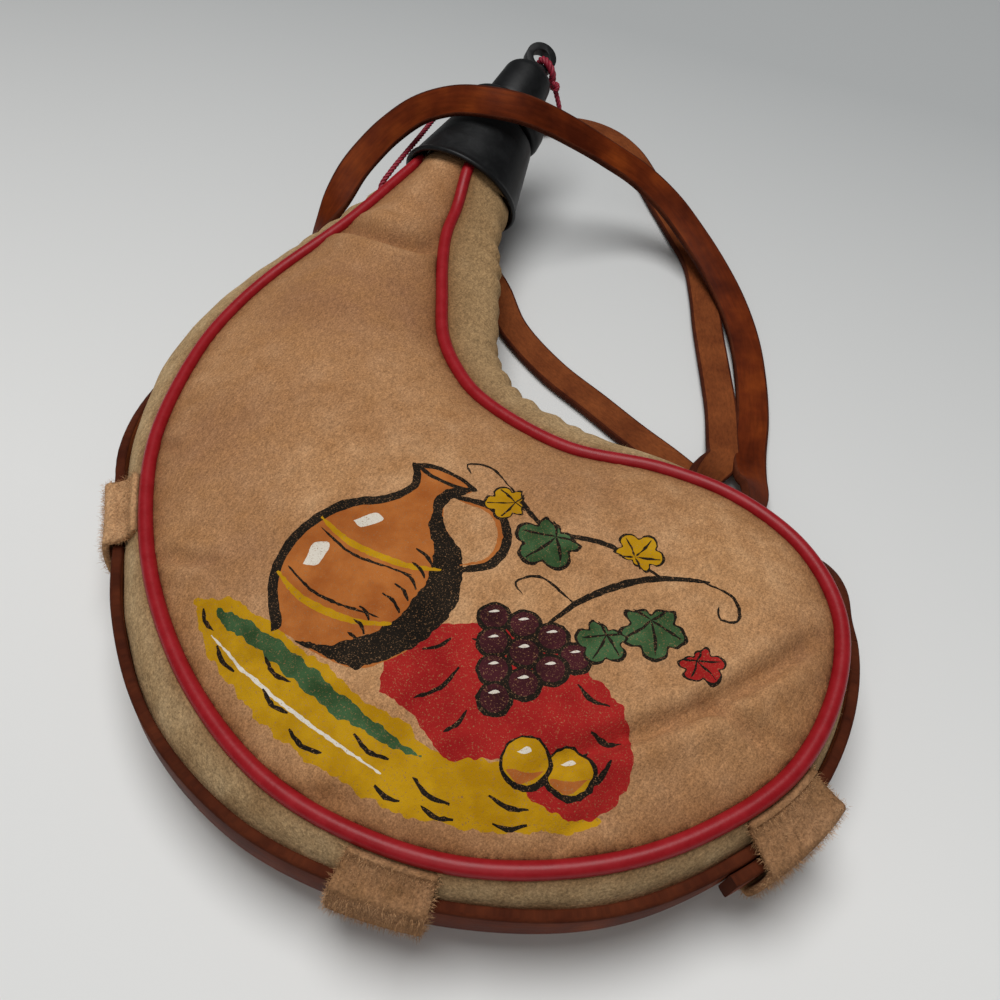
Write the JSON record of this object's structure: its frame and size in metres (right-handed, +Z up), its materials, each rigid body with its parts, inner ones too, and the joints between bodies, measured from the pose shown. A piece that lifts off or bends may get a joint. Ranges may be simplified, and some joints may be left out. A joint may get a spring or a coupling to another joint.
{
  "type": "leather bota bag",
  "caption": "Kidney-shaped suede wine bag lying on its back, with a red piped rim, a raised black screw mouthpiece and a leather carrying strap held in loops round its edge.",
  "frame": {"origin": "the middle of the bag's width on the flat back face that it rests on", "axes": "+Z up, away from the table, +Y along the mouthpiece as seen from above, +X to the right as seen from above with the mouthpiece pointing away"},
  "size_m": [0.2207, 0.3138, 0.0574],
  "materials": {
    "tan_suede": "napped tan suede",
    "natural_suede": "fuzzy undyed suede",
    "red_vinyl": "soft red vinyl",
    "latex_rubber": "pale latex liner",
    "binding_wire": "bare galvanised wire",
    "saddle_leather": "saddle brown grain leather, rough on the flesh side",
    "black_phenolic": "satin black moulded plastic",
    "black_rubber": "soft black washer",
    "crimson_cord": "twisted crimson cord"
  },
  "bodies": {
    "bag": {"front_panel": "tan_suede", "back_panel": "tan_suede", "gusset": "natural_suede", "front_piping": "red_vinyl", "back_piping": "red_vinyl", "bladder": "latex_rubber", "neck_binding": "binding_wire", "collar": "black_phenolic", "keeper_left": "natural_suede", "keeper_bottom": "natural_suede", "keeper_right": "natural_suede", "strap_held": "saddle_leather", "strap_lap": "saddle_leather", "strap_free": "saddle_leather", "stopper_cord": "crimson_cord"},
    "spout_seal": {"spout_seal": "black_rubber"},
    "spout": {"spout": "black_phenolic"},
    "stopper_seal": {"stopper_seal": "black_rubber"},
    "stopper": {"stopper": "black_phenolic", "cord_loop": "crimson_cord", "cord_knot": "crimson_cord"}
  },
  "joints": [
    {"name": "spout_rise", "type": "slide", "parent": "bag", "child": "spout_seal", "axis": [0, 0.9336, 0.3584], "range_m": [0, 0.01201]},
    {"name": "spout_turn", "type": "hinge", "parent": "spout_seal", "child": "spout", "pos_m": [-0.07197, 0.13005, 0.026], "axis": [0, 0.9336, 0.3584], "range_deg": [0, 1440]},
    {"name": "stopper_rise", "type": "slide", "parent": "spout", "child": "stopper_seal", "axis": [0, 0.9336, 0.3584], "range_m": [0, 0.00751]},
    {"name": "stopper_turn", "type": "hinge", "parent": "stopper_seal", "child": "stopper", "pos_m": [-0.07197, 0.13005, 0.026], "axis": [0, 0.9336, 0.3584], "range_deg": [0, 1080]}
  ],
  "couplings": [
    {"joint": "spout_rise", "follows": "spout_turn", "m_per_rad": 0.00047746},
    {"joint": "stopper_rise", "follows": "stopper_turn", "m_per_rad": 0.00039789}
  ]
}
